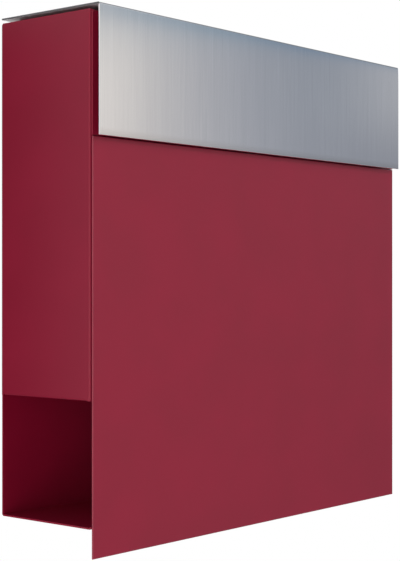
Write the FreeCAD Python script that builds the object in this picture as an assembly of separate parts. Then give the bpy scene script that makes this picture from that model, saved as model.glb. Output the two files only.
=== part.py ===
import FreeCAD, Part
import math
import os

# Wall mounted post box of folded sheet metal, with a hinged lid, a side hinged door and an open
# newspaper compartment. All lengths are in millimetres.
#
# Pieces are worked out from the middle of the body, from the rear face of its back towards the
# front (depth) and from its lower edge upwards (height). The last step moves them so that the
# origin is the middle of the wall holes on the wall, with +X to the right, +Y into the wall and +Z up.

# Body
body_width = 380.0
body_depth = 89.9
body_height = 354.8
newspaper_height = 87.5
sheet = 1.2
bend_radius = 0.6
corner_relief = 1.2
edge_inset = 1.2
front_flange = 12.0
lower_flange = 14.0
bottom_lip = 12.0
lip_end_cut = 3.0

# Floor of the letter compartment
floor_lip = 18.0
floor_rear_lip = 12.0
side_fit = 0.2

# Top panel, its mail slot and the fixed front strip
slot_length = 325.0
slot_width = 35.0
slot_depth = 45.0
slot_rim = 10.0
top_side_flange = 10.0
top_rear_flange = 12.0
strip_return = 9.0
top_step = 0.5
notch_gap = 0.3

# Door
door_gap = 0.9
front_left_inset = 0.5
door_overhang = 19.9
door_seam = 0.6
door_below_apron = 0.3

# Lid
lid_width = 378.6
lid_gap = 2.65
lid_rear_inset = 0.2
lid_bend_radius = 0.4
apron_height = 90.1
apron_gap = 5.4

# Wall fixing
wall_hole_spacing_x = 300.0
wall_hole_spacing_z = 180.0
wall_hole_height = 225.0
wall_hole_diameter = 7.0
boss_height = 2.0
boss_flat_diameter = 20.0
boss_base_diameter = 30.0

# Both continuous hinges
pin_diameter = 1.6
pin_clearance = 0.05
leaf_sheet = 0.6
leaf_width = 14.0
hinge_play = 0.1
knuckle_gap = 0.3
leaf_cut_gap = 0.35
roll_seam = 0.15
lid_hinge_end_inset = 18.0
lid_hinge_tail = 1.6
lid_hinge_knuckles = 9
door_hinge_end_gap = 5.0
door_hinge_rise = 6.0
door_leaf_gap = 1.0
door_hinge_knuckles = 5

# Cam lock in the front strip
lock_rise = 14.25
lock_head_diameter = 20.0
lock_head_height = 3.0
lock_head_chamfer = 0.8
lock_barrel_diameter = 16.0
lock_barrel_flats = 14.0
lock_barrel_length = 20.0
lock_hole_fit = 0.1
lock_nut_width = 20.0
lock_nut_height = 4.0
lock_nut_sides = 6
lock_washer_diameter = 21.0
lock_washer_sheet = 1.0
plug_diameter = 11.0
plug_clearance = 0.05
keyway_width = 2.2
keyway_height = 8.0
keyway_depth = 14.0
tang_width = 7.0
cam_fit = 0.1
cam_sheet = 2.0
cam_width = 14.0
cam_reach = 30.0
cam_screw_diameter = 3.9
cam_screw_length = 8.0
cam_screw_head_diameter = 9.0
cam_screw_head_height = 2.4
cam_screw_slot = 1.0

# Strike plate on the door
strike_width = 40.0
strike_base = 14.0
strike_lip = 14.0
strike_overlap = 11.0
strike_gap = 0.5

# Stiffener on the door, a hat section
stiffener_edge_gap = 16.0
stiffener_width = 22.0
stiffener_depth = 8.0
stiffener_flange = 8.0
stiffener_end_gap = 6.0

# Rubber buffers
lid_buffer_diameter = 9.0
lid_buffer_inset = 25.0
lid_buffer_rise = 12.0
door_buffer_diameter = 7.0
door_buffer_end_gap = 28.0
buffer_gap = 0.1
buffer_chamfer = 0.8

# How far the shapes that are cut away reach past the faces that they cut
overshoot = 1.0

# Sizes that follow from the ones above
half_width = body_width / 2
front_left = -half_width + front_left_inset
bend_outside = bend_radius + sheet
knuckle_radius = pin_diameter / 2 + pin_clearance + leaf_sheet
hinge_half_stack = knuckle_radius + hinge_play
hinge_stack = 2 * hinge_half_stack

lid_underside = body_height + lid_gap
lid_top = lid_underside + sheet
apron_bottom = lid_top - apron_height
lid_axis_height = lid_underside - hinge_half_stack
lid_axis_depth = lid_rear_inset + lid_hinge_tail
lid_hinge_length = body_width - 2 * lid_hinge_end_inset

top_height = lid_underside - hinge_stack
back_top = top_height - top_step
flange_top = top_height - sheet - notch_gap

door_inner_depth = body_depth + door_gap
door_depth = door_inner_depth + sheet
door_top = apron_bottom - door_below_apron
strip_bottom = door_top + door_seam
lock_height = strip_bottom + lock_rise
hinge_side_depth = door_inner_depth - hinge_stack
door_axis_depth = door_inner_depth - hinge_half_stack
door_hinge_bottom = newspaper_height + door_hinge_end_gap
door_hinge_top = door_top + door_hinge_rise
door_hinge_length = door_hinge_top - door_hinge_bottom
lid_front_depth = door_depth + apron_gap + sheet
strip_return_reach = half_width - max(front_flange, leaf_width) - corner_relief

floor_height = newspaper_height + sheet
floor_front_depth = hinge_side_depth - sheet
floor_half_width = half_width - sheet - bend_radius - side_fit

cam_front_depth = door_depth - lock_barrel_length - cam_fit
cam_rear_depth = cam_front_depth - cam_sheet
strike_depth = cam_front_depth + strike_gap
strike_web_height = lock_height - cam_reach + strike_overlap - strike_lip

X = FreeCAD.Vector(1, 0, 0)
Y = FreeCAD.Vector(0, 1, 0)
Z = FreeCAD.Vector(0, 0, 1)
ORIGIN = FreeCAD.Vector(0, boss_height, wall_hole_height)
SAME_POINT = 1e-6


# Helpers

def at(across, depth, height):
    """Return the point at this place across, behind the front and above the lower edge."""
    return FreeCAD.Vector(across, -depth, height)


def unit(vector):
    """Return a vector of length one with the same direction."""
    return vector * (1 / vector.Length)


def block(left, right, rear, front, low, high):
    """Return a box between two places across, two depths and two heights."""
    return Part.makeBox(right - left, front - rear, high - low, at(left, front, low))


def joined(*shapes):
    """Return the shapes as one solid with no seams between flush faces."""
    whole = shapes[0].multiFuse(list(shapes[1:])).removeSplitter()
    return whole.Solids[0] if len(whole.Solids) == 1 else whole


def mirrored(shape):
    """Return the shape mirrored from one side of the body to the other."""
    return shape.mirror(FreeCAD.Vector(0, 0, 0), X)


def turned(outline, start, axis):
    """Return the solid that a closed outline makes in one turn about an axis."""
    wire = Part.makePolygon(outline + outline[:1])
    return Part.Face(wire).revolve(start, axis, 360)


def bend_curves(before, corner, after, axis, thickness, radius):
    """Return start, middle and end of a bend on the path's face and on the other face."""
    heading_in = unit(corner - before)
    heading_out = unit(after - corner)
    side_in = axis.cross(heading_in)
    side_out = axis.cross(heading_out)
    turn = 1 if side_in.dot(heading_out) > 0 else -1
    path_radius = radius + (thickness if turn > 0 else 0)
    setback = path_radius * math.tan(heading_in.getAngle(heading_out) / 2)
    start = corner - heading_in * setback
    end = corner + heading_out * setback
    centre = start + side_in * (path_radius * turn)
    outward = unit(side_in + side_out) * -turn
    middle = centre + outward * path_radius
    far_middle = centre + outward * (path_radius - turn * thickness)
    far = [start + side_in * thickness, far_middle, end + side_out * thickness]
    return [start, middle, end], far


def line(start, end):
    """Return a straight edge."""
    return Part.LineSegment(start, end).toShape()


def straight_run(start, end):
    """Return the straight edge between two bends, or none where they meet."""
    return [line(start, end)] if (end - start).Length > SAME_POINT else []


def face_edges(first, bends, last):
    """Return the edges along one face of a folded sheet."""
    edges = []
    place = first
    for start, middle, end in bends:
        edges += straight_run(place, start)
        edges.append(Part.Arc(start, middle, end).toShape())
        place = end
    return edges + straight_run(place, last)


def folded_sheet(path, run, thickness=sheet, radius=bend_radius):
    """Return a folded sheet: the path follows one face and the metal lies to its left."""
    axis = unit(run)
    near_bends = []
    far_bends = []
    for before, corner, after in zip(path, path[1:], path[2:]):
        near, far = bend_curves(before, corner, after, axis, thickness, radius)
        near_bends.append(near)
        far_bends.append(far)
    far_first = path[0] + axis.cross(unit(path[1] - path[0])) * thickness
    far_last = path[-1] + axis.cross(unit(path[-1] - path[-2])) * thickness
    edges = face_edges(path[0], near_bends, path[-1])
    edges += face_edges(far_first, far_bends, far_last)
    edges += [line(path[0], far_first), line(path[-1], far_last)]
    return Part.Face(Part.Wire(Part.__sortEdges__(edges))).extrude(run)


def evenly(first, last, count):
    """Return evenly spaced places from the first to the last."""
    return [first + (last - first) * index / (count - 1) for index in range(count)]


def front_rim_edges(disc):
    """Return the round edge at the front end of a disc."""
    middle = disc.BoundBox.Center.y
    round_edges = [edge for edge in disc.Edges if len(edge.Vertexes) == 1]
    return [edge for edge in round_edges if edge.BoundBox.YMax < middle]


# Housing

def wall_depth(side):
    """Return the depth of a side wall; the hinge side stands back by the hinge's thickness."""
    return hinge_side_depth if side > 0 else body_depth


def walls():
    """Return the back and both side walls with their front flanges, folded in plan."""
    path = [
        at(half_width - front_flange, hinge_side_depth, newspaper_height),
        at(half_width, hinge_side_depth, newspaper_height),
        at(half_width, 0, newspaper_height),
        at(-half_width, 0, newspaper_height),
        at(-half_width, body_depth, newspaper_height),
        at(-half_width + front_flange, body_depth, newspaper_height),
    ]
    return folded_sheet(path, Z * (body_height - newspaper_height))


def side_fold_room(side):
    """Return the stretch of a side wall's lower edge that the return flange takes."""
    front = wall_depth(side) - bend_outside - corner_relief
    rear = bend_outside + corner_relief
    low = newspaper_height - overshoot
    high = newspaper_height + bend_outside
    room = block(-half_width - overshoot, -half_width + sheet + overshoot, rear, front, low, high)
    return mirrored(room) if side > 0 else room


def side_return(side):
    """Return the flange at a side wall's lower edge."""
    front = wall_depth(side) - bend_outside - corner_relief
    rear = bend_outside + corner_relief
    path = [
        at(-half_width, rear, newspaper_height + bend_outside),
        at(-half_width, rear, newspaper_height),
        at(-half_width + lower_flange, rear, newspaper_height),
    ]
    flange = folded_sheet(path, -Y * (front - rear))
    return mirrored(flange) if side > 0 else flange


def lip_end_room(side):
    """Return the end that is trimmed off the bottom plate's front lip, behind the door's edge."""
    left = -half_width + edge_inset
    rear = body_depth - bend_outside
    front = body_depth + overshoot
    high = bottom_lip + overshoot
    room = block(left - overshoot, left + lip_end_cut, rear, front, bend_outside, high)
    return mirrored(room) if side > 0 else room


def lower_back_and_bottom():
    """Return the lower back, the bottom plate and its front lip, folded in side view."""
    left = -half_width + edge_inset
    path = [
        at(left, body_depth, bottom_lip),
        at(left, body_depth, 0),
        at(left, 0, 0),
        at(left, 0, newspaper_height),
    ]
    plate = folded_sheet(path, X * (body_width - 2 * edge_inset))
    return plate.cut(lip_end_room(-1)).cut(lip_end_room(1))


def wall_hole_places():
    """Return the four wall holes as places across and heights."""
    across = wall_hole_spacing_x / 2
    rise = wall_hole_spacing_z / 2
    heights = (wall_hole_height - rise, wall_hole_height + rise)
    return [(x, z) for x in (-across, across) for z in heights]


def wall_boss(across, height):
    """Return one pressed boss with its screw hole, standing out towards the wall."""
    hole = wall_hole_diameter / 2
    flat = boss_flat_diameter / 2
    base = boss_base_diameter / 2
    section = [
        (hole, -boss_height), (flat, -boss_height), (base, 0),
        (base, sheet), (flat, sheet - boss_height), (hole, sheet - boss_height),
    ]
    outline = [at(across + radius, depth, height) for radius, depth in section]
    return turned(outline, at(across, 0, height), Y)


def boss_opening(across, height):
    """Return the disc of the back that a pressed boss takes the place of."""
    radius = boss_base_diameter / 2
    return Part.makeCylinder(radius, sheet, at(across, sheet, height), Y)


def front_flange_notch(side):
    """Return the corner cut at a front flange's top, which the top panel passes over."""
    depth = wall_depth(side)
    inner = half_width - sheet
    right = -half_width + front_flange + overshoot
    rear = depth - bend_outside - notch_gap
    notch = block(-inner, right, rear, depth + overshoot, flange_top, body_height + overshoot)
    return mirrored(notch) if side > 0 else notch


def housing_shell():
    """Return the body: back, sides, flanges and bottom plate, folded from one sheet."""
    shell = walls()
    for side in (-1, 1):
        shell = shell.cut(side_fold_room(side)).cut(front_flange_notch(side))
    high = body_height + overshoot
    shell = shell.cut(block(-half_width, half_width, -overshoot, bend_outside, back_top, high))
    for across, height in wall_hole_places():
        shell = shell.cut(boss_opening(across, height))
    bosses = [wall_boss(across, height) for across, height in wall_hole_places()]
    return joined(shell, lower_back_and_bottom(), side_return(-1), side_return(1), *bosses)


def mail_floor():
    """Return the letter compartment's floor with its front and rear lips."""
    left = -floor_half_width
    path = [
        at(left, floor_front_depth, floor_height + floor_lip),
        at(left, floor_front_depth, floor_height),
        at(left, sheet, floor_height),
        at(left, sheet, floor_height + floor_rear_lip),
    ]
    return folded_sheet(path, X * (2 * floor_half_width))


# Top panel

def top_fold():
    """Return the rear flange, top and upper bend of the front strip, folded in side view."""
    inner = half_width - sheet - side_fit
    rear = sheet + side_fit
    path = [
        at(-inner, rear, top_height - top_rear_flange),
        at(-inner, rear, top_height),
        at(-inner, door_depth, top_height),
        at(-inner, door_depth, strip_bottom + bend_outside),
    ]
    return folded_sheet(path, X * (2 * inner))


def front_strip():
    """Return the fixed front strip below its upper bend, over the full width."""
    low = strip_bottom + bend_outside
    return block(front_left, half_width, door_inner_depth, door_depth, low, top_height - bend_outside)


def strip_return_flange():
    """Return the stiffening flange at the strip's lower edge, kept inside the flanges and the hinge."""
    reach = strip_return_reach
    path = [
        at(-reach, door_depth, strip_bottom + bend_outside),
        at(-reach, door_depth, strip_bottom),
        at(-reach, door_depth - strip_return, strip_bottom),
    ]
    return folded_sheet(path, X * (2 * reach))


def strip_ends():
    """Return the plain lower ends of the strip beside its return flange."""
    high = strip_bottom + bend_outside
    left = block(front_left, -strip_return_reach, door_inner_depth, door_depth, strip_bottom, high)
    right = block(strip_return_reach, half_width, door_inner_depth, door_depth, strip_bottom, high)
    return joined(left, right)


def top_side_span():
    """Return the depths between which the top panel's side flanges run."""
    rear = sheet + side_fit + bend_outside + corner_relief
    front = hinge_side_depth - bend_outside - corner_relief
    return rear, front


def top_side_room(side):
    """Return the edge of the top that a side flange takes the place of."""
    rear, front = top_side_span()
    inner = half_width - sheet - side_fit
    low = top_height - sheet - overshoot
    high = top_height + overshoot
    room = block(-inner - overshoot, -inner + bend_outside, rear, front, low, high)
    return mirrored(room) if side > 0 else room


def top_side_flange_fold(side):
    """Return one turned down side flange of the top panel."""
    rear, front = top_side_span()
    inner = half_width - sheet - side_fit
    path = [
        at(-inner + bend_outside, rear, top_height),
        at(-inner, rear, top_height),
        at(-inner, rear, top_height - top_side_flange),
    ]
    flange = folded_sheet(path, -Y * (front - rear))
    return mirrored(flange) if side > 0 else flange


def slot_rim_fold(edge_depth, away):
    """Return one turned down rim of the mail slot; away is the side that the metal lies on."""
    length = slot_length - 2 * corner_relief
    level = at(-length / 2, edge_depth + away * bend_outside, top_height)
    corner = at(-length / 2, edge_depth, top_height)
    foot = at(-length / 2, edge_depth, top_height - slot_rim)
    path = [foot, corner, level] if away > 0 else [level, corner, foot]
    return folded_sheet(path, X * length)


def slot_cut():
    """Return the opening that is cut for the mail slot before its rims are folded."""
    half = slot_length / 2
    rear = slot_depth - slot_width / 2 - bend_outside
    front = slot_depth + slot_width / 2 + bend_outside
    return block(-half, half, rear, front, top_height - sheet - overshoot, top_height + overshoot)


def lock_outline(fit, front, length):
    """Return a round bar with two flats, as the lock's barrel has, from a depth towards the rear."""
    radius = lock_barrel_diameter / 2 + fit
    flat = lock_barrel_flats / 2 + fit
    bar = Part.makeCylinder(radius, length, at(0, front, lock_height), Y)
    low = lock_height - flat
    return bar.common(block(-radius, radius, front - length, front, low, lock_height + flat))


def top_panel():
    """Return the top with its mail slot and the fixed front strip, folded from one sheet."""
    panel = top_fold()
    for side in (-1, 1):
        panel = panel.cut(top_side_room(side))
    panel = panel.cut(slot_cut())
    front_rim = slot_rim_fold(slot_depth + slot_width / 2, 1)
    rear_rim = slot_rim_fold(slot_depth - slot_width / 2, -1)
    flanges = [top_side_flange_fold(-1), top_side_flange_fold(1)]
    strip = [front_strip(), strip_ends(), strip_return_flange()]
    panel = joined(panel, front_rim, rear_rim, *flanges, *strip)
    return panel.cut(lock_outline(lock_hole_fit, door_depth + overshoot, sheet + 2 * overshoot))


# Continuous hinges

def hinge_leaf(length, count, own, side):
    """Return one leaf of a continuous hinge, with its pin along Z and the leaf towards -X.

    The own value, 0 or 1, says which of the knuckles belong to the leaf. The side, -1 or 1, says
    on which side of the pin, along Y, the leaf lies.
    """
    pitch = length / count
    inner = hinge_half_stack - leaf_sheet
    low = inner if side > 0 else -hinge_half_stack
    leaf = Part.makeBox(leaf_width, leaf_sheet, length, FreeCAD.Vector(-leaf_width, low, 0))
    seam_low = inner - roll_seam if side > 0 else -inner
    knuckles = []
    for index in range(count):
        start = index * pitch
        if index % 2 == own:
            base = FreeCAD.Vector(0, 0, start + knuckle_gap / 2)
            knuckle = Part.makeCylinder(knuckle_radius, pitch - knuckle_gap, base, Z)
            seam_corner = FreeCAD.Vector(-knuckle_radius, seam_low, start)
            knuckles.append(knuckle.cut(Part.makeBox(knuckle_radius, roll_seam, pitch, seam_corner)))
        else:
            reach = knuckle_radius + leaf_cut_gap
            corner = FreeCAD.Vector(-reach, low - overshoot, start - knuckle_gap / 2)
            room_depth = leaf_sheet + 2 * overshoot
            leaf = leaf.cut(Part.makeBox(reach + overshoot, room_depth, pitch + knuckle_gap, corner))
    bore = Part.makeCylinder(pin_diameter / 2 + pin_clearance, length, FreeCAD.Vector(0, 0, 0), Z)
    return joined(leaf, *knuckles).cut(bore)


def on_lid_hinge(shape):
    """Return a hinge piece turned and moved to the lid's hinge."""
    shape.Placement = FreeCAD.Placement(
        at(-lid_hinge_length / 2, lid_axis_depth, lid_axis_height),
        FreeCAD.Rotation(Y, Z, X, "ZXY"),
    )
    return shape


def on_door_hinge(shape):
    """Return a hinge piece moved to the door's hinge."""
    shape.Placement = FreeCAD.Placement(
        at(half_width, door_axis_depth, door_hinge_bottom),
        FreeCAD.Rotation(X, Y, Z, "ZXY"),
    )
    return shape


def door_moving_leaf():
    """Return the door's hinge leaf, cut off below the door's top edge; the knuckles go on above it."""
    leaf = on_door_hinge(hinge_leaf(door_hinge_length, door_hinge_knuckles, 1, -1))
    left = half_width - leaf_width - overshoot
    low = door_top - door_leaf_gap
    high = door_hinge_top + overshoot
    front = door_inner_depth + overshoot
    return leaf.cut(block(left, half_width, door_axis_depth, front, low, high))


def hinge_pin(length):
    """Return a hinge pin along Z."""
    return Part.makeCylinder(pin_diameter / 2, length)


# Lid and door

def lid():
    """Return the stainless lid: top plate and hanging apron."""
    left = -lid_width / 2
    path = [
        at(left, lid_rear_inset, lid_top),
        at(left, lid_front_depth, lid_top),
        at(left, lid_front_depth, apron_bottom),
    ]
    return folded_sheet(path, X * lid_width, sheet, lid_bend_radius)


def door_panel():
    """Return the plain front sheet of the door."""
    return block(front_left, half_width, door_inner_depth, door_depth, -door_overhang, door_top)


def door_stiffener():
    """Return the hat section on the door's inner side, near its free edge."""
    left = -half_width + front_flange + stiffener_edge_gap - stiffener_flange
    low = floor_height + floor_lip + stiffener_end_gap
    high = door_top - stiffener_end_gap
    crown_left = left + stiffener_flange
    crown_right = crown_left + stiffener_width
    top_depth = door_inner_depth - stiffener_depth
    path = [
        at(left, door_inner_depth, low),
        at(crown_left, door_inner_depth, low),
        at(crown_left, top_depth + sheet, low),
        at(crown_right, top_depth + sheet, low),
        at(crown_right, door_inner_depth, low),
        at(crown_right + stiffener_flange, door_inner_depth, low),
    ]
    return folded_sheet(path, Z * (high - low))


def strike_plate():
    """Return the folded bracket on the door that the cam turns behind."""
    left = -strike_width / 2
    path = [
        at(left, door_inner_depth - sheet, strike_web_height - strike_base),
        at(left, door_inner_depth - sheet, strike_web_height),
        at(left, strike_depth, strike_web_height),
        at(left, strike_depth, strike_web_height + strike_lip),
    ]
    return folded_sheet(path, X * strike_width)


# Lock

def lock_body():
    """Return the lock's casing: round head, barrel with two flats and the bore for the plug."""
    head_rear = at(0, door_depth, lock_height)
    head = Part.makeCylinder(lock_head_diameter / 2, lock_head_height, head_rear, -Y)
    head = head.makeChamfer(lock_head_chamfer, front_rim_edges(head))
    barrel = lock_outline(0, door_depth, lock_barrel_length)
    length = lock_head_height + lock_barrel_length + 2 * overshoot
    start = at(0, door_depth + lock_head_height + overshoot, lock_height)
    bore = Part.makeCylinder(plug_diameter / 2 + plug_clearance, length, start, Y)
    return joined(head, barrel).cut(bore)


def lock_plug():
    """Return the turning plug with its keyway, its square tang and the hole for the cam screw."""
    front = door_depth + lock_head_height
    length = lock_head_height + lock_barrel_length
    plug = Part.makeCylinder(plug_diameter / 2, length, at(0, front, lock_height), Y)
    half = tang_width / 2
    tang_rear = cam_rear_depth + cam_fit
    tang_front = door_depth - lock_barrel_length
    tang = block(-half, half, tang_rear, tang_front, lock_height - half, lock_height + half)
    low = lock_height - keyway_height / 2
    side = keyway_width / 2
    keyway = block(-side, side, front - keyway_depth, front + overshoot, low, low + keyway_height)
    screw_start = at(0, tang_rear - overshoot, lock_height)
    screw_depth = cam_screw_length + overshoot
    screw_hole = Part.makeCylinder(cam_screw_diameter / 2, screw_depth, screw_start, -Y)
    return joined(plug, tang).cut(keyway).cut(screw_hole)


def lock_cam():
    """Return the cam, a round ended bar that points to the right when the door is free."""
    half = cam_width / 2
    tip = cam_reach - half
    low = lock_height - half
    high = lock_height + half
    edges = [
        line(at(0, cam_front_depth, low), at(tip, cam_front_depth, low)),
        Part.Arc(at(tip, cam_front_depth, low), at(cam_reach, cam_front_depth, lock_height),
                 at(tip, cam_front_depth, high)).toShape(),
        line(at(tip, cam_front_depth, high), at(0, cam_front_depth, high)),
        Part.Arc(at(0, cam_front_depth, high), at(-half, cam_front_depth, lock_height),
                 at(0, cam_front_depth, low)).toShape(),
    ]
    cam = Part.Face(Part.Wire(edges)).extrude(Y * cam_sheet)
    hole = tang_width / 2 + cam_fit
    rear = cam_rear_depth - overshoot
    front = cam_front_depth + overshoot
    return cam.cut(block(-hole, hole, rear, front, lock_height - hole, lock_height + hole))


def cam_screw():
    """Return the slotted screw that holds the cam on the plug's tang."""
    seat = at(0, cam_rear_depth, lock_height)
    head = Part.makeCylinder(cam_screw_head_diameter / 2, cam_screw_head_height, seat, Y)
    shank = Part.makeCylinder(cam_screw_diameter / 2, cam_screw_length, seat, -Y)
    half = cam_screw_slot / 2
    reach = cam_screw_head_diameter
    rear = cam_rear_depth - cam_screw_head_height - overshoot
    front = cam_rear_depth - cam_screw_head_height / 2
    slot = block(-reach, reach, rear, front, lock_height - half, lock_height + half)
    return joined(head, shank).cut(slot)


def lock_washer():
    """Return the washer between the front strip and the lock's nut."""
    seat = at(0, door_inner_depth, lock_height)
    disc = Part.makeCylinder(lock_washer_diameter / 2, lock_washer_sheet, seat, Y)
    hole = Part.makeCylinder(lock_barrel_diameter / 2 + lock_hole_fit, lock_washer_sheet, seat, Y)
    return disc.cut(hole)


def lock_nut():
    """Return the hexagon nut that clamps the lock."""
    radius = lock_nut_width / 2 / math.cos(math.pi / lock_nut_sides)
    seat = door_inner_depth - lock_washer_sheet
    corners = []
    for index in range(lock_nut_sides):
        angle = math.tau * index / lock_nut_sides
        corners.append(at(radius * math.cos(angle), seat, lock_height + radius * math.sin(angle)))
    nut = Part.Face(Part.makePolygon(corners + corners[:1])).extrude(Y * lock_nut_height)
    bore_radius = lock_barrel_diameter / 2 + lock_hole_fit / 2
    bore_start = at(0, seat + overshoot, lock_height)
    bore = Part.makeCylinder(bore_radius, lock_nut_height + 2 * overshoot, bore_start, Y)
    return nut.cut(bore)


# Buffers

def buffer(radius, height, seat):
    """Return one round buffer with a broken front edge."""
    pad = Part.makeCylinder(radius, height, seat, -Y)
    return pad.makeChamfer(min(buffer_chamfer, height / 2), front_rim_edges(pad))


def lid_buffers():
    """Return the buffers on the front strip that the apron rests on."""
    height = apron_gap - buffer_gap
    across = half_width - lid_buffer_inset
    level = apron_bottom + lid_buffer_rise
    seats = [at(x, door_depth, level) for x in (-across, across)]
    return Part.makeCompound([buffer(lid_buffer_diameter / 2, height, seat) for seat in seats])


def door_buffers():
    """Return the pads on the left front flange that the door rests on."""
    height = door_gap - buffer_gap
    across = -half_width + (bend_outside + front_flange) / 2
    low = newspaper_height + door_buffer_end_gap
    high = door_top - door_buffer_end_gap
    seats = [at(across, body_depth, level) for level in (low, high)]
    return Part.makeCompound([buffer(door_buffer_diameter / 2, height, seat) for seat in seats])


# All pieces by name

pieces = {
    "housing_shell": housing_shell(),
    "mail_floor": mail_floor(),
    "top_panel": top_panel(),
    "lid": lid(),
    "door_panel": door_panel(),
    "door_stiffener": door_stiffener(),
    "strike_plate": strike_plate(),
    "lock_body": lock_body(),
    "lock_washer": lock_washer(),
    "lock_nut": lock_nut(),
    "lock_plug": lock_plug(),
    "lock_cam": lock_cam(),
    "cam_screw": cam_screw(),
    "lid_hinge_fixed_leaf": on_lid_hinge(hinge_leaf(lid_hinge_length, lid_hinge_knuckles, 0, -1)),
    "lid_hinge_moving_leaf": on_lid_hinge(hinge_leaf(lid_hinge_length, lid_hinge_knuckles, 1, 1)),
    "lid_hinge_pin": on_lid_hinge(hinge_pin(lid_hinge_length)),
    "door_hinge_fixed_leaf": on_door_hinge(hinge_leaf(door_hinge_length, door_hinge_knuckles, 0, 1)),
    "door_hinge_moving_leaf": door_moving_leaf(),
    "door_hinge_pin": on_door_hinge(hinge_pin(door_hinge_length)),
    "lid_buffers": lid_buffers(),
    "door_buffers": door_buffers(),
}

os.makedirs("parts", exist_ok=True)
for name, shape in pieces.items():
    shape.translate(-ORIGIN)
    shape.exportStep(f"parts/{name}.step")
    print(name, shape.ShapeType, len(shape.Solids), shape.isValid(), round(shape.Volume, 1))
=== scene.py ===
import logging
import math
from collections.abc import Sequence
from dataclasses import dataclass, field
from enum import Enum

import bmesh
import bpy
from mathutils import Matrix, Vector


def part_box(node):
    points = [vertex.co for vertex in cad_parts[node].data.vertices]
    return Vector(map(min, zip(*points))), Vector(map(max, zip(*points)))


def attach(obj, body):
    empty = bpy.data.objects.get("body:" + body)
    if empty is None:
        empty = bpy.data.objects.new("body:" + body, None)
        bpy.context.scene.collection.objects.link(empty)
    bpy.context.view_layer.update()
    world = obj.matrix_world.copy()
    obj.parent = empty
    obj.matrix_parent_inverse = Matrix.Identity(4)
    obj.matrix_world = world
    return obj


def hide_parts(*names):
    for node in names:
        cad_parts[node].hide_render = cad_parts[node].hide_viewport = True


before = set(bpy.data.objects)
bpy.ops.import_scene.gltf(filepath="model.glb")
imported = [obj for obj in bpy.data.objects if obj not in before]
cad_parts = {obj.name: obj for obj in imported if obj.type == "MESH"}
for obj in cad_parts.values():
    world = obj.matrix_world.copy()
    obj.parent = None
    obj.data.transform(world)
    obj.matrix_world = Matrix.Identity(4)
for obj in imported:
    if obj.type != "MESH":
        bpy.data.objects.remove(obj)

LOG = logging.getLogger("post_box")
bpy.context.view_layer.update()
MM = 0.001

Colour = tuple[float, float, float]
Span = tuple[float, float]
WHITE: Colour = (1.0, 1.0, 1.0)

NOISE_MIDDLE = 0.5

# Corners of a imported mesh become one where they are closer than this
WELD = 0.002 * MM

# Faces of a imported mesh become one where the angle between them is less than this
FLAT_DEGREES = 0.6

# Edges sharper than this stay sharp where a mesh is shaded smooth
CREASE_DEGREES = 35.0


# Node graphs

class Wire:
    """One output socket of a node graph; Python's operators on it add Math nodes."""

    def __init__(self, graph: "Graph", socket: bpy.types.NodeSocket) -> None:
        """Keep the socket and the graph it belongs to."""
        self.graph = graph
        self.socket = socket

    def __add__(self, other: "Wire | float") -> "Wire":
        """Return this plus other."""
        return self.graph.math("ADD", self, other)

    __radd__ = __add__

    def __sub__(self, other: "Wire | float") -> "Wire":
        """Return this minus other."""
        return self.graph.math("SUBTRACT", self, other)

    def __rsub__(self, other: float) -> "Wire":
        """Return other minus this."""
        return self.graph.math("SUBTRACT", other, self)

    def __mul__(self, other: "Wire | float") -> "Wire":
        """Return this times other."""
        return self.graph.math("MULTIPLY", self, other)

    __rmul__ = __mul__

    def __truediv__(self, other: "Wire | float") -> "Wire":
        """Return this divided by other."""
        return self.graph.math("DIVIDE", self, other)

    def __rtruediv__(self, other: float) -> "Wire":
        """Return other divided by this."""
        return self.graph.math("DIVIDE", other, self)

    def at_least(self, other: "Wire | float") -> "Wire":
        """Return the larger of this and other."""
        return self.graph.math("MAXIMUM", self, other)

    def swing(self, spread: float) -> "Wire":
        """Return how far a noise value is from its middle, times the spread."""
        return (self - NOISE_MIDDLE) * spread

    def eased(self, start: float, end: float) -> "Wire":
        """Return a smooth step from 0 at start to 1 at end.

        Args:
            start: value of this wire that gives 0.
            end: value of this wire that gives 1.

        Returns:
            The wire of the step.
        """
        settings = {"interpolation_type": "SMOOTHSTEP"}
        inputs = {"Value": self, "From Min": start, "From Max": end}
        return self.graph.out(self.graph.add("ShaderNodeMapRange", settings, inputs), "Result")


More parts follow.
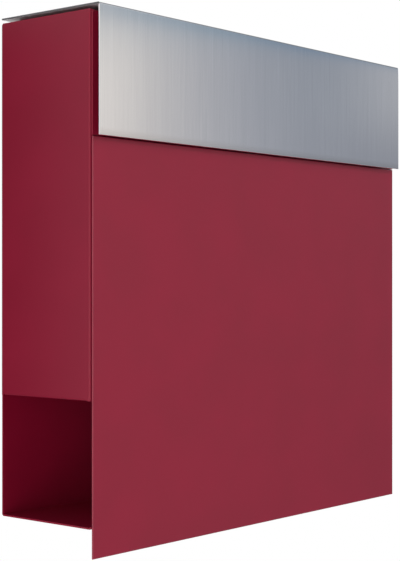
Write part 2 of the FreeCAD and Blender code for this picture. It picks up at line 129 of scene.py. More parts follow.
class Graph:
    """A material's or world's node tree, with one way to add nodes."""

    def __init__(self, owner: bpy.types.ID) -> None:
        """Start from an empty tree.

        Args:
            owner: material or world that the tree belongs to.
        """
        owner.use_nodes = True
        self.tree = owner.node_tree
        self.tree.nodes.clear()

    def add(self, kind: str, settings: dict | None = None,
            inputs: dict | None = None) -> bpy.types.Node:
        """Add one node.

        Args:
            kind: the node's type.
            settings: properties that are set first; "stops" holds a ramp's places and colours.
            inputs: values or wires by the number, identifier or name of the socket.

        Returns:
            The new node.
        """
        node = self.tree.nodes.new(kind)
        for name, value in (settings or {}).items():
            if name == "stops":
                self._set_stops(node.color_ramp, value)
            else:
                setattr(node, name, value)
        for name, value in (inputs or {}).items():
            socket = self._socket(node.inputs, name)
            if isinstance(value, Wire):
                self.tree.links.new(value.socket, socket)
            else:
                socket.default_value = value
        return node

    def out(self, node: bpy.types.Node, name: str | int = 0) -> Wire:
        """Return one output of a node as a wire."""
        return Wire(self, self._socket(node.outputs, name))

    def math(self, operation: str, *values: "Wire | float") -> Wire:
        """Return the result of one Math node on the values."""
        node = self.add("ShaderNodeMath", {"operation": operation}, dict(enumerate(values)))
        return self.out(node)

    def blend(self, factor: "Wire | float", first: "Wire | Colour",
              second: "Wire | Colour") -> Wire:
        """Return a colour between two colours.

        Args:
            factor: 0 gives the first colour and 1 the second.
            first: colour or wire.
            second: colour or wire.

        Returns:
            The wire of the mixed colour.
        """
        inputs = {
            "Factor_Float": factor,
            "A_Color": self._rgba(first),
            "B_Color": self._rgba(second),
        }
        return self.out(self.add("ShaderNodeMix", {"data_type": "RGBA"}, inputs), "Result_Color")

    def vector(self, operation: str, *values: "Wire | Sequence[float]",
               output: str = "Vector") -> Wire:
        """Return the result of one Vector Math node on the values."""
        node = self.add("ShaderNodeVectorMath", {"operation": operation}, dict(enumerate(values)))
        return self.out(node, output)

    def places(self) -> Wire:
        """Return the place on the part, in metres in the part's own frame."""
        return self.out(self.add("ShaderNodeTexCoord"), "Object")

    def noise(self, place: Wire, size: float, detail: float = 2.0, roughness: float = 0.5) -> Wire:
        """Return a noise value between 0 and 1.

        Args:
            place: wire of the coordinates.
            size: size of a feature, in the coordinates' unit.
            detail: number of finer layers.
            roughness: strength of the finer layers.

        Returns:
            The wire of the noise value.
        """
        inputs = {"Vector": place, "Scale": 1 / size, "Detail": detail, "Roughness": roughness}
        return self.out(self.add("ShaderNodeTexNoise", None, inputs))

    def streaks(self, place: Wire, sizes: Sequence[float], detail: float = 2.0,
                roughness: float = 0.5) -> Wire:
        """Return a noise value whose features are longer one way than another.

        Args:
            place: wire of the coordinates.
            sizes: size of a feature along X, Y and Z, in metres.
            detail: number of finer layers.
            roughness: strength of the finer layers.

        Returns:
            The wire of the noise value.
        """
        stretched = self.vector("MULTIPLY", place, [1 / size for size in sizes])
        return self.noise(stretched, 1.0, detail, roughness)

    def bump(self, height: Wire, distance: float, under: Wire | None = None) -> Wire:
        """Return the normal of a height field.

        Args:
            height: wire of the height from 0 to 1.
            distance: height in metres that 1 stands for.
            under: normal that this one is laid over.

        Returns:
            The wire of the normal.
        """
        inputs = {"Height": height, "Distance": distance}
        if under is not None:
            inputs["Normal"] = under
        return self.out(self.add("ShaderNodeBump", None, inputs), "Normal")

    @staticmethod
    def _socket(sockets: bpy.types.bpy_prop_collection, name: str | int) -> bpy.types.NodeSocket:
        """Find a socket.

        Args:
            sockets: inputs or outputs of a node.
            name: the socket's number, identifier or name.

        Returns:
            The socket.
        """
        if isinstance(name, int):
            return sockets[name]
        for socket in sockets:
            if socket.identifier == name:
                return socket
        return sockets[name]

    @staticmethod
    def _rgba(colour: "Wire | Colour") -> "Wire | tuple[float, ...]":
        """Return a colour with its alpha, or the wire itself."""
        return colour if isinstance(colour, Wire) else (*colour, 1.0)

    @staticmethod
    def _set_stops(ramp: bpy.types.ColorRamp, stops: Sequence[tuple[float, Colour]]) -> None:
        """Set the stops of a ramp.

        Args:
            ramp: the ramp.
            stops: place and colour of each stop.
        """
        while len(ramp.elements) < len(stops):
            ramp.elements.new(1.0)
        for element, (place, colour) in zip(ramp.elements, stops):
            element.position = place
            element.color = (*colour, 1.0)


# Finishes

@dataclass(frozen=True)
class Finish:
    """A surface finish; each kind paints its own nodes."""

    name: str
    slot: str

    def material(self) -> bpy.types.Material:
        """Make the finish's material, the first time it is asked for.

        Returns:
            The material.
        """
        made = bpy.data.materials.get(self.name)
        if made is None:
            made = bpy.data.materials.new(self.name)
            graph = Graph(made)
            shader = graph.add("ShaderNodeBsdfPrincipled", None, self.paint(graph))
            graph.add("ShaderNodeOutputMaterial", None, {"Surface": graph.out(shader, "BSDF")})
        return made

    def paint(self, graph: Graph) -> dict:
        """Return the shader's inputs by name."""
        raise NotImplementedError


@dataclass(frozen=True)
class PowderCoat(Finish):
    """Satin powder coat with a fine orange peel and a slight mottle.

    The gloss values of peel and mottle are how far they swing the roughness.
    """

    name: str = "satin_powder_coat"
    slot: str = "red_powder_coat"
    colour: Colour = (0.262, 0.0045, 0.0270)
    deep_colour: Colour = (0.240, 0.0040, 0.0240)
    deep_span: Span = (0.3, 0.7)
    gloss_roughness: float = 0.38
    gloss_level: float = 0.34
    peel_size: float = 1.6 * MM
    peel_detail: float = 1.5
    peel_height: float = 0.018 * MM
    peel_gloss: float = 0.08
    grain_size: float = 0.22 * MM
    grain_detail: float = 1.0
    grain_height: float = 0.004 * MM
    mottle_size: float = 45 * MM
    mottle_detail: float = 3.0
    mottle_share: float = 0.75
    mottle_gloss: float = 0.06
    rim_gloss: float = 0.0
    rim_roughness: float = 0.25

    def paint(self, graph: Graph) -> dict:
        """Paint the coat.

        Args:
            graph: the material's graph.

        Returns:
            Colour, roughness, gloss and normal by the shader's input names.
        """
        place = graph.places()
        mottle = graph.noise(place, self.mottle_size, self.mottle_detail)
        peel = graph.noise(place, self.peel_size, self.peel_detail)
        grain = graph.noise(place, self.grain_size, self.grain_detail)
        shade = mottle * self.mottle_share + grain * (1 - self.mottle_share)
        gloss = self.gloss_roughness + peel.swing(self.peel_gloss)
        normal = graph.bump(peel, self.peel_height)
        return {
            "Base Color": graph.blend(shade.eased(*self.deep_span), self.deep_colour, self.colour),
            "Roughness": gloss + mottle.swing(self.mottle_gloss),
            "Specular IOR Level": self.gloss_level,
            "Coat Weight": self.rim_gloss,
            "Coat Roughness": self.rim_roughness,
            "Normal": graph.bump(grain, self.grain_height, normal),
        }


@dataclass(frozen=True)
class Zone:
    """Faces of a sheet that carry a mark and have a finish of their own."""

    mark: str
    colour: Colour
    metal: float
    roughness: float


@dataclass(frozen=True)
class BrushedSteel(Finish):
    """Stainless sheet brushed down the apron, with a mill finished inner face, ground apron edges
    made brighter and pinker as a painted highlight, near-black top plate edges as painted shade,
    and painted shade darkening the apron towards its lower rim.

    The gloss values of hair and smudge are how far they swing the roughness.
    """

    name: str = "brushed_sheet"
    slot: str = "brushed_stainless"
    colour: Colour = (0.684, 0.675, 0.671)
    streak_colour: Colour = (0.626, 0.620, 0.619)
    streak_span: Span = (0.28, 0.72)
    streak_roughness: float = 0.6
    gloss_roughness: float = 0.13
    hair_width: float = 0.35 * MM
    hair_length: float = 60 * MM
    hair_height: float = 0.005 * MM
    hair_share: float = 0.75
    hair_gloss: float = 0.10
    band_width: float = 4 * MM
    band_length: float = 180 * MM
    smudge_size: float = 70 * MM
    smudge_detail: float = 3.0
    smudge_gloss: float = 0.06
    # Painted shade: colour and height of a darker band along the apron's lower rim, in place of a
    # darker reflection there
    lower_rim_shade_colour: Colour = (0.575, 0.555, 0.545)
    lower_rim_shade_height: float = 6.5 * MM
    mill: Zone = Zone("mill_face", (0.68, 0.66, 0.66), 0.35, 0.38)
    # Painted shade: the top plate's cut edges are near black, standing in for the shade they sit in
    dark_painted_edge: Zone = Zone("painted_shade_edge", (0.12, 0.112, 0.118), 0.2, 0.5)
    # Partly a real ground finish and partly a painted highlight: the apron's cut edges are brighter
    # and pinker than the sheet
    ground_and_highlight: Zone = Zone("ground_edge_painted_highlight", (0.90, 0.83, 0.84), 1.0, 0.5)

    def brushing(self, graph: Graph, place: Wire, width: float, length: float) -> Wire:
        """Return streaks of this width that run down the apron and back over the top."""
        return graph.streaks(place, (width, length, length), roughness=self.streak_roughness)

    def paint(self, graph: Graph) -> dict:
        """Paint the brushed sheet, with painted shade darkening the apron towards its lower rim,
        and its zones.

        Args:
            graph: the material's graph.

        Returns:
            Colour, metal, roughness and normal by the shader's input names.
        """
        place = graph.places()
        hair = self.brushing(graph, place, self.hair_width, self.hair_length)
        band = self.brushing(graph, place, self.band_width, self.band_length)
        smudge = graph.noise(place, self.smudge_size, self.smudge_detail)
        shade = hair * self.hair_share + band * (1 - self.hair_share)
        colour = graph.blend(shade.eased(*self.streak_span), self.streak_colour, self.colour)
        height = graph.out(graph.add("ShaderNodeSeparateXYZ", None, {"Vector": place}), "Z")
        # Painted shade: the sheet turns darker towards the apron's lower edge, in place of a darker
        # reflection
        lower_rim_shade = 1 - (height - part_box("lid")[0].z).eased(0.0, self.lower_rim_shade_height)
        colour = graph.blend(lower_rim_shade, colour, self.lower_rim_shade_colour)
        metal: Wire | float = 1.0
        gloss = self.gloss_roughness + hair.swing(self.hair_gloss) + smudge.swing(self.smudge_gloss)
        for zone in (self.mill, self.dark_painted_edge, self.ground_and_highlight):
            mark = graph.add("ShaderNodeAttribute", {"attribute_name": zone.mark})
            here = graph.out(mark, "Fac")
            colour = graph.blend(here, colour, zone.colour)
            metal = metal - here * (1 - zone.metal)
            gloss = gloss + here * (zone.roughness - self.gloss_roughness)
        return {
            "Base Color": colour,
            "Metallic": metal,
            "Roughness": gloss,
            "Normal": graph.bump(hair, self.hair_height),
        }


@dataclass(frozen=True)
class PlainMetal(Finish):
    """Rolled, plated or polished metal with cloudy spots and fine scratches.

    The gloss values of spangle and scratch are how far they swing the roughness.
    """

    colour: Colour = (0.55, 0.55, 0.56)
    tint: Colour = (0.50, 0.51, 0.53)
    gloss_roughness: float = 0.3
    tint_span: Span = (0.35, 0.65)
    spangle_size: float = 5 * MM
    spangle_roughness: float = 0.6
    spangle_gloss: float = 0.12
    scratch_length: float = 3 * MM
    scratch_width: float = 0.15 * MM
    scratch_detail: float = 1.0
    scratch_height: float = 0.002 * MM
    scratch_gloss: float = 0.06

    def paint(self, graph: Graph) -> dict:
        """Paint the metal.

        Args:
            graph: the material's graph.

        Returns:
            Colour, metal, roughness and normal by the shader's input names.
        """
        place = graph.places()
        spangle = graph.noise(place, self.spangle_size, roughness=self.spangle_roughness)
        scratch_sizes = (self.scratch_length, self.scratch_width, self.scratch_width)
        scratch = graph.streaks(place, scratch_sizes, self.scratch_detail)
        gloss = self.gloss_roughness + spangle.swing(self.spangle_gloss)
        return {
            "Base Color": graph.blend(spangle.eased(*self.tint_span), self.tint, self.colour),
            "Metallic": 1.0,
            "Roughness": gloss + scratch.swing(self.scratch_gloss),
            "Normal": graph.bump(scratch, self.scratch_height),
        }


@dataclass(frozen=True)
class Rubber(Finish):
    """Matte black rubber with a moulded grain.

    The grain's gloss value is how far it swings the roughness.
    """

    name: str = "moulded_rubber"
    slot: str = "black_rubber"
    colour: Colour = (0.022, 0.022, 0.023)
    worn_colour: Colour = (0.045, 0.044, 0.043)
    worn_span: Span = (0.4, 0.8)
    gloss_roughness: float = 0.75
    grain_size: float = 0.35 * MM
    grain_detail: float = 3.0
    grain_height: float = 0.02 * MM
    grain_gloss: float = 0.15

    def paint(self, graph: Graph) -> dict:
        """Paint the rubber.

        Args:
            graph: the material's graph.

        Returns:
            Colour, roughness and normal by the shader's input names.
        """
        grain = graph.noise(graph.places(), self.grain_size, self.grain_detail)
        return {
            "Base Color": graph.blend(grain.eased(*self.worn_span), self.colour, self.worn_colour),
            "Roughness": self.gloss_roughness + grain.swing(self.grain_gloss),
            "Normal": graph.bump(grain, self.grain_height),
        }


POWDER = PowderCoat()
POWDER_RIM = PowderCoat("powder_coat_rim", rim_gloss=1.0)
BRUSHED = BrushedSteel()
HINGE_STEEL = PlainMetal(
    "rolled_stainless", "hinge_stainless", (0.56, 0.555, 0.55), (0.50, 0.50, 0.505), 0.30)
ZINC = PlainMetal(
    "zinc_plating", "zinc_plated_steel", (0.60, 0.62, 0.64), (0.50, 0.54, 0.60), 0.34)
CHROME = PlainMetal(
    "polished_plating", "lock_chrome", (0.74, 0.74, 0.75), (0.68, 0.69, 0.70), 0.12)
RUBBER = Rubber()


# Mesh work

def new_object(name: str, mesh: bpy.types.Mesh) -> bpy.types.Object:
    """Put a mesh into the scene.

    Args:
        name: name of the new object.
        mesh: its mesh.

    Returns:
        The new object.
    """
    made = bpy.data.objects.new(name, mesh)
    bpy.context.scene.collection.objects.link(made)
    return made


def smooth_with_creases(mesh: bpy.types.Mesh) -> None:
    """Shade a mesh smooth, apart from its sharper edges."""
    mesh.polygons.foreach_set("use_smooth", [True] * len(mesh.polygons))
    mesh.set_sharp_from_angle(angle=math.radians(CREASE_DEGREES))


def with_modifiers_applied(made: bpy.types.Object) -> None:
    """Give an object the mesh that its modifiers make, and remove them.

    Args:
        made: the object.
    """
    graph = bpy.context.evaluated_depsgraph_get()
    mesh = bpy.data.meshes.new_from_object(made.evaluated_get(graph))
    old = made.data
    made.modifiers.clear()
    made.data = mesh
    bpy.data.meshes.remove(old)
    mesh.name = made.name


def soften_edges(made: bpy.types.Object, width: float, segments: int,
                 degrees: float = 30.0) -> None:
    """Round an object's sharp edges and weigh its normals by face area.

    The rounded edges take the object's last material.

    Args:
        made: the object.
        width: width of the rounding in metres.
        segments: number of strips across it.
        degrees: least angle between faces whose edge is rounded.
    """
    bevel = made.modifiers.new("rounding", "BEVEL")
    bevel.width = width
    bevel.segments = segments
    bevel.limit_method = "ANGLE"
    bevel.angle_limit = math.radians(degrees)
    bevel.miter_outer = "MITER_ARC"
    bevel.material = len(made.data.materials) - 1
    with_modifiers_applied(made)
    smooth_with_creases(made.data)
    weigh = made.modifiers.new("normals", "WEIGHTED_NORMAL")
    weigh.keep_sharp = True
    weigh.mode = "FACE_AREA"
    with_modifiers_applied(made)


def cleaned_mesh(node: str, name: str) -> bpy.types.Mesh:
    """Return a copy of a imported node's mesh with whole flat faces in place of its triangles.

    Args:
        node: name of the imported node.
        name: name of the new mesh.

    Returns:
        The new mesh.
    """
    shape = bmesh.new()
    shape.from_mesh(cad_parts[node].data)
    bmesh.ops.remove_doubles(shape, verts=shape.verts, dist=WELD)
    bmesh.ops.dissolve_limit(
        shape, angle_limit=math.radians(FLAT_DEGREES), verts=shape.verts, edges=shape.edges)
    bmesh.ops.recalc_face_normals(shape, faces=shape.faces)
    shape.verts.index_update()
    points = [vertex.co.copy() for vertex in shape.verts]
    faces = [[vertex.index for vertex in face.verts] for face in shape.faces]
    shape.free()
    mesh = bpy.data.meshes.new(name)
    mesh.from_pydata(points, [], faces)
    return mesh


def seated(made: bpy.types.Object, body: str, finish: Finish, *nodes: str) -> bpy.types.Object:
    """Give a piece its finish, the body that it rides on and the nodes that it stands for.

    Args:
        made: the piece.
        body: name of the body.
        finish: the piece's finish.
        nodes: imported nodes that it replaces, if any.

    Returns:
        The same piece.
    """
    if not made.data.materials:
        made.data.materials.append(finish.material())
    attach(made, body)
    if nodes:
        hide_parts(*nodes)
    LOG.info("%s: %d faces on body %s", made.name, len(made.data.polygons), body)
    return made


def turned_mesh(name: str, profile: Sequence[tuple[float, float]], seat: Vector, axis: Vector,
                steps: int) -> bpy.types.Mesh:
    """Return a body of revolution.

    Args:
        name: name of the mesh.
        profile: radius and place along the axis of each ring, from one end to the other.
        seat: point that the places are measured from.
        axis: direction of the places.
        steps: number of faces round it.

    Returns:
        The new mesh, closed where the profile starts and ends on the axis.
    """
    turn = axis.to_track_quat("Z", "Y").to_matrix()
    shape = bmesh.new()
    rings = []
    for radius, reach in profile:
        if radius == 0:
            rings.append([shape.verts.new(seat + turn @ Vector((0, 0, reach)))])
            continue
        ring = []
        for step in range(steps):
            angle = math.tau * step / steps
            spot = Vector((radius * math.cos(angle), radius * math.sin(angle), reach))
            ring.append(shape.verts.new(seat + turn @ spot))
        rings.append(ring)
    for low, high in zip(rings, rings[1:]):
        for step in range(steps):
            after = (step + 1) % steps
            if len(low) == 1:
                shape.faces.new((low[0], high[after], high[step]))
            elif len(high) == 1:
                shape.faces.new((low[step], low[after], high[0]))
            else:
                shape.faces.new((low[step], low[after], high[after], high[step]))
    bmesh.ops.recalc_face_normals(shape, faces=shape.faces)
    mesh = bpy.data.meshes.new(name)
    shape.to_mesh(mesh)
    shape.free()
    return mesh


def merged(name: str, meshes: Sequence[bpy.types.Mesh]) -> bpy.types.Mesh:
    """Make one mesh out of several, which are removed.

    Args:
        name: name of the new mesh.
        meshes: the meshes.

    Returns:
        The new mesh.
    """
    shape = bmesh.new()
    for mesh in meshes:
        shape.from_mesh(mesh)
        bpy.data.meshes.remove(mesh)
    whole = bpy.data.meshes.new(name)
    shape.to_mesh(whole)
    shape.free()
    return whole


# Sub-assemblies

@dataclass
class Assembly:
    """A sub-assembly whose pieces ride on one body."""

    body: str

    def dressed(self, node: str, finish: Finish, rounding: float, segments: int = 3,
                rim: Finish | None = None) -> bpy.types.Object:
        """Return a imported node's shape with rounded edges and a finish.

        Args:
            node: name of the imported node.
            finish: the piece's finish.
            rounding: width of the rounding in metres.
            segments: number of strips across it.
            rim: finish of the rounded edges, where it differs.

        Returns:
            The piece, which replaces the node.
        """
        name = f"{node}_finished"
        made = new_object(name, cleaned_mesh(node, name))
        if rim is not None:
            made.data.materials.append(finish.material())
            made.data.materials.append(rim.material())
        soften_edges(made, rounding, segments)
        return seated(made, self.body, finish, node)

    def build(self) -> None:
        """Make the pieces."""
        raise NotImplementedError


@dataclass
class Housing(Assembly):
    """The folded body, the floor of the letter compartment and the top with its front strip."""

    body: str = "housing"
    coated_edge: float = 0.35 * MM

    def build(self) -> None:
        """Round and coat the three sheets."""
        for node in ("housing_shell", "mail_floor", "top_panel"):
            self.dressed(node, POWDER, self.coated_edge)


@dataclass
class Door(Assembly):
    """The front sheet with its stiffener and the plate for the lock's cam."""

    body: str = "door"
    coated_edge: float = 0.4 * MM
    front_edge: float = 0.55 * MM
    front_edge_strips: int = 4
    plated_edge: float = 0.2 * MM

    def build(self) -> None:
        """Round and finish the door's pieces."""
        self.dressed("door_panel", POWDER, self.front_edge, self.front_edge_strips, POWDER_RIM)
        self.dressed("door_stiffener", POWDER, self.coated_edge)
        self.dressed("strike_plate", ZINC, self.plated_edge)


@dataclass
class Lid(Assembly):
    """The brushed lid: top plate and apron, folded from one sheet.

    The lead-in is how far the apron's outer face still leans back where the bend ends; it fades
    out down the apron over the lead-in's length.
    """

    body: str = "lid"
    sheet: float = 1.2 * MM
    inner_radius: float = 0.4 * MM
    bend_steps: int = 14
    lead_in: float = 0.32 * MM
    lead_in_length: float = 5.5 * MM
    apron_steps: int = 40
    edge: float = 0.15 * MM
    edge_strips: int = 2
    edge_degrees: float = 45.0

    def outer_line(self, low: Vector, high: Vector) -> list[tuple[float, float, float, float]]:
        """Return the outer face's line in side view, from the rear edge to the apron's lower edge.

        Args:
            low: lowest corner of the lid.
            high: highest corner of the lid.

        Returns:
            Depth and height of each point with the depth and height of its outward normal.
        """
        radius = self.inner_radius + self.sheet
        centre_y = low.y + self.lead_in + radius
        centre_z = high.z - radius
        line = [(high.y, high.z, 0.0, 1.0)]
        for step in range(self.bend_steps + 1):
            angle = math.pi / 2 * step / self.bend_steps
            normal_y, normal_z = -math.sin(angle), math.cos(angle)
            y, z = centre_y + radius * normal_y, centre_z + radius * normal_z
            line.append((y, z, normal_y, normal_z))
        for step in range(1, self.apron_steps + 1):
            share = (step / self.apron_steps) ** 2
            height = centre_z + (low.z - centre_z) * share
            fade = math.exp(-(centre_z - height) / self.lead_in_length)
            slope = -self.lead_in / self.lead_in_length * fade
            normal = Vector((-1.0, -slope)).normalized()
            line.append((low.y + self.lead_in * fade, height, normal[0], normal[1]))
        return line

    def mark_zones(self, mesh: bpy.types.Mesh, count: int, half: int) -> None:
        """Mark the faces of each zone; the faces round the sheet come before its two ends.

        Args:
            mesh: the lid's mesh.
            count: number of faces round the sheet.
            half: number of points along its outer line.
        """
        plate_ends = [i <= self.bend_steps for i in range(half - 1)] * 2
        zones = {
            BRUSHED.mill: [half <= i < count - 1 for i in range(count)] + [False] * len(plate_ends),
            BRUSHED.dark_painted_edge: [i == count - 1 for i in range(count)] + plate_ends,
            BRUSHED.ground_and_highlight: [i == half - 1 for i in range(count)] + [not end for end in plate_ends],
        }
        for zone, marks in zones.items():
            marked = mesh.attributes.new(zone.mark, "FLOAT", "FACE")
            marked.data.foreach_set("value", [float(mark) for mark in marks])

    def folded_mesh(self) -> bpy.types.Mesh:
        """Make the folded sheet with sharp edges.

        Returns:
            The new mesh with its zones marked.
        """
        low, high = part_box("lid")
        line = self.outer_line(low, high)
        outer = [(y, z) for y, z, _, _ in line]
        inner = [(y - self.sheet * normal_y, z - self.sheet * normal_z)
                 for y, z, normal_y, normal_z in line]
        outline = outer + inner[::-1]
        count, half = len(outline), len(outer)
        points = [(x, y, z) for x in (low.x, high.x) for y, z in outline]
        faces = [[i, (i + 1) % count, count + (i + 1) % count, count + i] for i in range(count)]
        for start in (0, count):
            for i in range(half - 1):
                across = start + count - 1 - i
                faces.append([start + i, start + i + 1, across - 1, across])
        mesh = bpy.data.meshes.new("lid_finished")
        mesh.from_pydata(points, [], faces)
        self.mark_zones(mesh, count, half)
        shape = bmesh.new()
        shape.from_mesh(mesh)
        bmesh.ops.recalc_face_normals(shape, faces=shape.faces)
        shape.to_mesh(mesh)
        shape.free()
        return mesh

    def build(self) -> None:
        """Make the folded sheet and brush it."""
        made = new_object("lid_finished", self.folded_mesh())
        soften_edges(made, self.edge, self.edge_strips, self.edge_degrees)
        seated(made, self.body, BRUSHED, "lid")


@dataclass
class Hinge(Assembly):
    """A continuous hinge: rolled leaves on both bodies and the pin."""

    body: str = "housing"
    name: str = ""
    moving_body: str = ""
    edge: float = 0.08 * MM
    edge_strips: int = 1

    def build(self) -> None:
        """Finish the leaves and the pin."""
        rounding = (self.edge, self.edge_strips)
        self.dressed(f"{self.name}_fixed_leaf", HINGE_STEEL, *rounding)
        self.dressed(f"{self.name}_pin", HINGE_STEEL, *rounding)
        Assembly(self.moving_body).dressed(f"{self.name}_moving_leaf", HINGE_STEEL, *rounding)


@dataclass
class Rivets(Assembly):
    """Blind rivets that hold the hinges' fixed leaves."""

    body: str = "housing"
    head_radius: float = 2.8 * MM
    head_height: float = 0.8 * MM
    head_steps: int = 6
    shank_radius: float = 1.5 * MM
    stem_radius: float = 0.85 * MM
    stem_depth: float = 0.35 * MM
    pit_radius: float = 0.935 * MM
    grip: float = 1.8 * MM
    tail_radius: float = 2.3 * MM
    tail_shoulder: float = 0.4 * MM
    tail_end_radius: float = 1.955 * MM
    tail_taper: float = 1.28 * MM
    tail_height: float = 1.6 * MM
    faces_round: int = 32
    leaf_sheet: float = 0.6 * MM
    edge_inset: float = 5.0 * MM
    end_inset: float = 20.0 * MM
    on_lid: int = 6
    on_door: int = 5

    def profile(self) -> list[tuple[float, float]]:
        """Work out a rivet's section, from the pit in its head to its tail behind the sheets.

        Returns:
            Radius and place along the axis of each ring.
        """
        pit_floor = self.stem_depth - self.head_height
        rings = [(0.0, pit_floor), (self.stem_radius, pit_floor)]
        rings.append((self.pit_radius, -self.head_height))
        for step in range(1, self.head_steps + 1):
            angle = math.pi / 2 * step / self.head_steps
            radius = self.pit_radius + (self.head_radius - self.pit_radius) * math.sin(angle)
            rings.append((radius, -self.head_height * math.cos(angle)))
        return rings + [
            (self.shank_radius, 0.0),
            (self.shank_radius, self.grip),
            (self.tail_radius, self.grip + self.tail_shoulder),
            (self.tail_end_radius, self.grip + self.tail_taper),
            (self.stem_radius, self.grip + self.tail_height),
            (0.0, self.grip + self.tail_height),
        ]

    def set_row(self, name: str, first: Vector, last: Vector, count: int, inward: Vector) -> None:
        """Set one row of rivets.

        Args:
            name: name of the row.
            first: seat of the first head.
            last: seat of the last head.
            count: number of rivets.
            inward: direction from a head to its tail.
        """
        seats = [first.lerp(last, index / (count - 1)) for index in range(count)]
        rivets = [turned_mesh(name, self.profile(), seat, inward, self.faces_round)
                  for seat in seats]
        made = new_object(name, merged(name, rivets))
        smooth_with_creases(made.data)
        seated(made, self.body, HINGE_STEEL)

    def build(self) -> None:
        """Set both rows."""
        low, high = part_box("lid_hinge_fixed_leaf")
        seat_y = low.y + self.edge_inset
        seat_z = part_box("top_panel")[1].z + self.leaf_sheet
        first = Vector((low.x + self.end_inset, seat_y, seat_z))
        last = Vector((high.x - self.end_inset, seat_y, seat_z))
        self.set_row("lid_hinge_rivets", first, last, self.on_lid, Vector((0, 0, -1)))

        low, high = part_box("door_hinge_fixed_leaf")
        seat_x = low.x + self.edge_inset
        seat_y = high.y - self.leaf_sheet
        first = Vector((seat_x, seat_y, low.z + self.end_inset))
        last = Vector((seat_x, seat_y, high.z - self.end_inset))
        self.set_row("door_hinge_rivets", first, last, self.on_door, Vector((0, 1, 0)))


@dataclass
class Lock(Assembly):
    """The cam lock: casing, washer and nut on the strip, and the plug that turns in them."""

    body: str = "housing"
    turning_body: str = "lock_core"
    edge: float = 0.12 * MM
    large_strips: int = 2
    small_strips: int = 1

    def build(self) -> None:
        """Finish the lock's pieces."""
        self.dressed("lock_body", CHROME, self.edge, self.large_strips)
        self.dressed("lock_washer", ZINC, self.edge, self.small_strips)
        self.dressed("lock_nut", ZINC, self.edge, self.large_strips)
        turning = Assembly(self.turning_body)
        turning.dressed("lock_plug", CHROME, self.edge, self.small_strips)
        turning.dressed("lock_cam", ZINC, self.edge, self.large_strips)
        turning.dressed("cam_screw", ZINC, self.edge, self.small_strips)


@dataclass
class Buffers(Assembly):
    """Rubber buffers under the apron and behind the door."""

    body: str = "housing"
    edge: float = 0.12 * MM
    edge_strips: int = 2

    def build(self) -> None:
        """Finish the buffers."""
        for node in ("lid_buffers", "door_buffers"):
            self.dressed(node, RUBBER, self.edge, self.edge_strips)


# Studio

class Side(Enum):
    """Where a reflecting card stands, as the azimuth of its middle in degrees from +X to +Y."""

    RIGHT_FRONT = -37.5
    LEFT_REAR = 134.0


def toward(azimuth: float, rise: float) -> Vector:
    """Work out a direction.

    Args:
        azimuth: degrees from +X to +Y.
        rise: degrees upwards.

    Returns:
        The unit direction.
    """
    turn, lift = math.radians(azimuth), math.radians(rise)
    flat = math.cos(lift)
    return Vector((flat * math.cos(turn), flat * math.sin(turn), math.sin(lift)))


@dataclass(frozen=True)
class Band:
    """A band of a card: the rise over which it takes over, and its shade at some azimuths."""

    start: float
    end: float
    stops: Sequence[tuple[float, Colour]]


@dataclass
class Card:
    """A large curved card that only shiny surfaces see.

    Its bands go from low to high, each in place of the one below it, and its upper rim is white.
    """

    name: str
    side: Side
    half_span: float
    bands: Sequence[Band]
    low: float = -50.0
    high: float = 60.0
    fade: float = 12.0
    centre: Vector = field(default_factory=Vector)
    radius: float = 2.6
    stretch: float = 1.0
    columns: int = 48
    rows: int = 24

    def build(self) -> bpy.types.Object:
        """Make the card, part of a sphere round its centre.

        Returns:
            The card.
        """
        points = []
        for row in range(self.rows + 1):
            rise = math.radians(self.low + (self.high - self.low) * row / self.rows)
            height = self.radius * math.sin(rise)
            flat = self.radius * math.cos(rise)
            for column in range(self.columns + 1):
                share = 2 * column / self.columns - 1
                turn = math.radians(self.side.value + self.half_span * share)
                points.append((flat * math.cos(turn), flat * math.sin(turn), height))
        stride = self.columns + 1
        starts = [row * stride + column
                  for row in range(self.rows) for column in range(self.columns)]
        faces = [(start, start + 1, start + stride + 1, start + stride) for start in starts]
        mesh = bpy.data.meshes.new(self.name)
        mesh.from_pydata(points, [], faces)
        mesh.materials.append(self.material())
        made = new_object(self.name, mesh)
        made.location = self.centre
        made.scale.z = self.stretch
        made.visible_camera = False
        made.visible_diffuse = False
        made.visible_shadow = False
        made.visible_transmission = False
        return made

    def share_at(self, azimuth: float) -> float:
        """Return how far across the card an azimuth is, from 0 to 1."""
        return (azimuth - self.side.value + self.half_span) / (2 * self.half_span)

    def material(self) -> bpy.types.Material:
        """Make the card's glow, graded from side to side and white at its upper rim.

        Returns:
            The material.
        """
        made = bpy.data.materials.new(self.name)
        graph = Graph(made)
        place = graph.add("ShaderNodeSeparateXYZ", None, {"Vector": graph.places()})
        x, y, z = (graph.out(place, axis) for axis in "XYZ")
        middle = math.radians(self.side.value)
        along = x * math.cos(middle) + y * math.sin(middle)
        across = y * math.cos(middle) - x * math.sin(middle)
        turn = graph.math("ARCTAN2", across, along) * math.degrees(1)
        rise = graph.math("ARCSINE", z / self.radius) * math.degrees(1)
        share = (turn + self.half_span) / (2 * self.half_span)
        colour: Wire | Colour = WHITE
        for band in self.bands:
            stops = [(self.share_at(azimuth), shade) for azimuth, shade in band.stops]
            ramp = graph.add("ShaderNodeValToRGB", {"stops": stops}, {"Fac": share})
            colour = graph.blend(rise.eased(band.start, band.end), colour, graph.out(ramp, "Color"))
        rim = 1 - rise.eased(self.high - self.fade, self.high)
        colour = graph.blend(rim, WHITE, colour)
        glow = graph.add("ShaderNodeEmission", None, {"Color": colour, "Strength": 1.0})
        graph.add("ShaderNodeOutputMaterial", None, {"Surface": graph.out(glow)})
        return made


